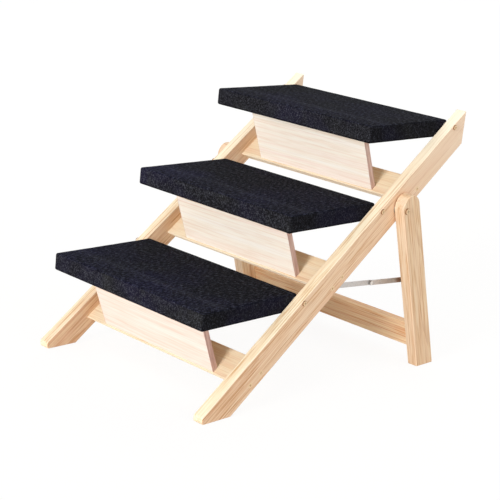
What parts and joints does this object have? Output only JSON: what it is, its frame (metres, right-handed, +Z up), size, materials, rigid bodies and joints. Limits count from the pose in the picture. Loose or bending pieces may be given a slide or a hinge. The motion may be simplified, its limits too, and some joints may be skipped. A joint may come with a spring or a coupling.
{
  "type": "folding pet stairs",
  "caption": "Folding wooden pet stairs: carpeted treads between sloped stringers, hinged riser boards, and rear legs that fold on steel stays.",
  "frame": {"origin": "on the floor, under the middle of the whole object", "axes": "+X to the right seen from the front, +Y back, the way the stairs climb, +Z up"},
  "size_m": [0.449, 0.5854, 0.4542],
  "materials": {
    "pine": "smooth pine, clear satin",
    "pine_board": "smooth sanded pine board",
    "frame_board": "sanded pine",
    "beech": "fluted beech dowel",
    "carpet": "fine woven charcoal carpet",
    "stay_steel": "satin zinc-plated strip",
    "yellow_zinc": "yellow, low gloss",
    "zinc": "zinc plated"
  },
  "bodies": {
    "frame": {"stringer_left": "pine", "stringer_right": "pine", "slat_lower": "pine", "slat_middle": "pine", "slat_upper": "pine", "slat_screws": "yellow_zinc", "tread_pivot_washers": "zinc", "leg_pivot_bolts": "yellow_zinc", "leg_pivot_inserts": "zinc", "leg_pivot_washers": "zinc", "stay_brackets": "stay_steel", "stay_bracket_screws": "stay_steel", "stay_bracket_rivets": "stay_steel"},
    "tread_lower": {"tread_panel_lower": "frame_board", "tread_front_rail_lower": "frame_board", "tread_rear_rail_lower": "frame_board", "tread_side_rail_left_lower": "frame_board", "tread_side_rail_right_lower": "frame_board", "tread_carpet_lower": "carpet", "tread_pivot_screws_lower": "yellow_zinc", "riser_pins_lower": "zinc"},
    "riser_lower": {"riser_board_lower": "pine_board"},
    "tread_middle": {"tread_panel_middle": "frame_board", "tread_front_rail_middle": "frame_board", "tread_rear_rail_middle": "frame_board", "tread_side_rail_left_middle": "frame_board", "tread_side_rail_right_middle": "frame_board", "tread_carpet_middle": "carpet", "tread_pivot_screws_middle": "yellow_zinc", "riser_pins_middle": "zinc"},
    "riser_middle": {"riser_board_middle": "pine_board"},
    "tread_upper": {"tread_panel_upper": "frame_board", "tread_front_rail_upper": "frame_board", "tread_rear_rail_upper": "frame_board", "tread_side_rail_left_upper": "frame_board", "tread_side_rail_right_upper": "frame_board", "tread_carpet_upper": "carpet", "tread_pivot_screws_upper": "yellow_zinc", "riser_pins_upper": "zinc"},
    "riser_upper": {"riser_board_upper": "pine_board"},
    "legs": {"leg_left": "pine", "leg_right": "pine", "leg_rail": "pine", "leg_rail_dowels": "beech", "stay_bushes": "zinc", "stay_leg_screws": "stay_steel"},
    "stay_front_left": {"stay_front_link_left": "stay_steel", "stay_knee_rivet_tail_left": "stay_steel"},
    "stay_rear_left": {"stay_rear_link_left": "stay_steel", "stay_knee_rivet_head_left": "stay_steel"},
    "stay_front_right": {"stay_front_link_right": "stay_steel", "stay_knee_rivet_tail_right": "stay_steel"},
    "stay_rear_right": {"stay_rear_link_right": "stay_steel", "stay_knee_rivet_head_right": "stay_steel"}
  },
  "joints": [
    {"name": "tread_lower_lift", "type": "hinge", "parent": "frame", "child": "tread_lower", "pos_m": [0, -0.08556, 0.16246], "axis": [-1, 0, 0], "range_deg": [0, 60]},
    {"name": "riser_lower_fold", "type": "hinge", "parent": "tread_lower", "child": "riser_lower", "pos_m": [0, -0.24646, 0.15171], "axis": [1, 0, 0], "range_deg": [0, 67.01]},
    {"name": "tread_middle_lift", "type": "hinge", "parent": "frame", "child": "tread_middle", "pos_m": [0, 0.08888, 0.29487], "axis": [-1, 0, 0], "range_deg": [0, 60]},
    {"name": "riser_middle_fold", "type": "hinge", "parent": "tread_middle", "child": "riser_middle", "pos_m": [0, -0.07202, 0.28412], "axis": [1, 0, 0], "range_deg": [0, 67.01]},
    {"name": "tread_upper_lift", "type": "hinge", "parent": "frame", "child": "tread_upper", "pos_m": [0, 0.26332, 0.42728], "axis": [-1, 0, 0], "range_deg": [0, 60]},
    {"name": "riser_upper_fold", "type": "hinge", "parent": "tread_upper", "child": "riser_upper", "pos_m": [0, 0.10242, 0.41653], "axis": [1, 0, 0], "range_deg": [0, 67.01]},
    {"name": "leg_fold", "type": "hinge", "parent": "frame", "child": "legs", "pos_m": [0, 0.12761, 0.29627], "axis": [-1, 0, 0], "range_deg": [0, 66]},
    {"name": "stay_front_fold_left", "type": "hinge", "parent": "frame", "child": "stay_front_left", "pos_m": [-0.17525, 0.00478, 0.16952], "axis": [1, 0, 0], "range_deg": [0, 32.33]},
    {"name": "stay_rear_fold_left", "type": "hinge", "parent": "legs", "child": "stay_rear_left", "pos_m": [-0.17525, 0.20533, 0.15301], "axis": [-1, 0, 0], "range_deg": [0, 73.4]},
    {"name": "stay_front_fold_right", "type": "hinge", "parent": "frame", "child": "stay_front_right", "pos_m": [0.17525, 0.00478, 0.16952], "axis": [1, 0, 0], "range_deg": [0, 32.33]},
    {"name": "stay_rear_fold_right", "type": "hinge", "parent": "legs", "child": "stay_rear_right", "pos_m": [0.17525, 0.20533, 0.15301], "axis": [-1, 0, 0], "range_deg": [0, 73.4]}
  ],
  "couplings": [
    {"joint": "riser_lower_fold", "follows": "tread_lower_lift", "ratio": 1.1167},
    {"joint": "riser_middle_fold", "follows": "tread_middle_lift", "ratio": 1.1167},
    {"joint": "riser_upper_fold", "follows": "tread_upper_lift", "ratio": 1.1167},
    {"joint": "stay_front_fold_left", "follows": "leg_fold", "ratio": 0.48973},
    {"joint": "stay_rear_fold_left", "follows": "leg_fold", "ratio": 1.112},
    {"joint": "stay_front_fold_right", "follows": "leg_fold", "ratio": 0.48973},
    {"joint": "stay_rear_fold_right", "follows": "leg_fold", "ratio": 1.112}
  ]
}
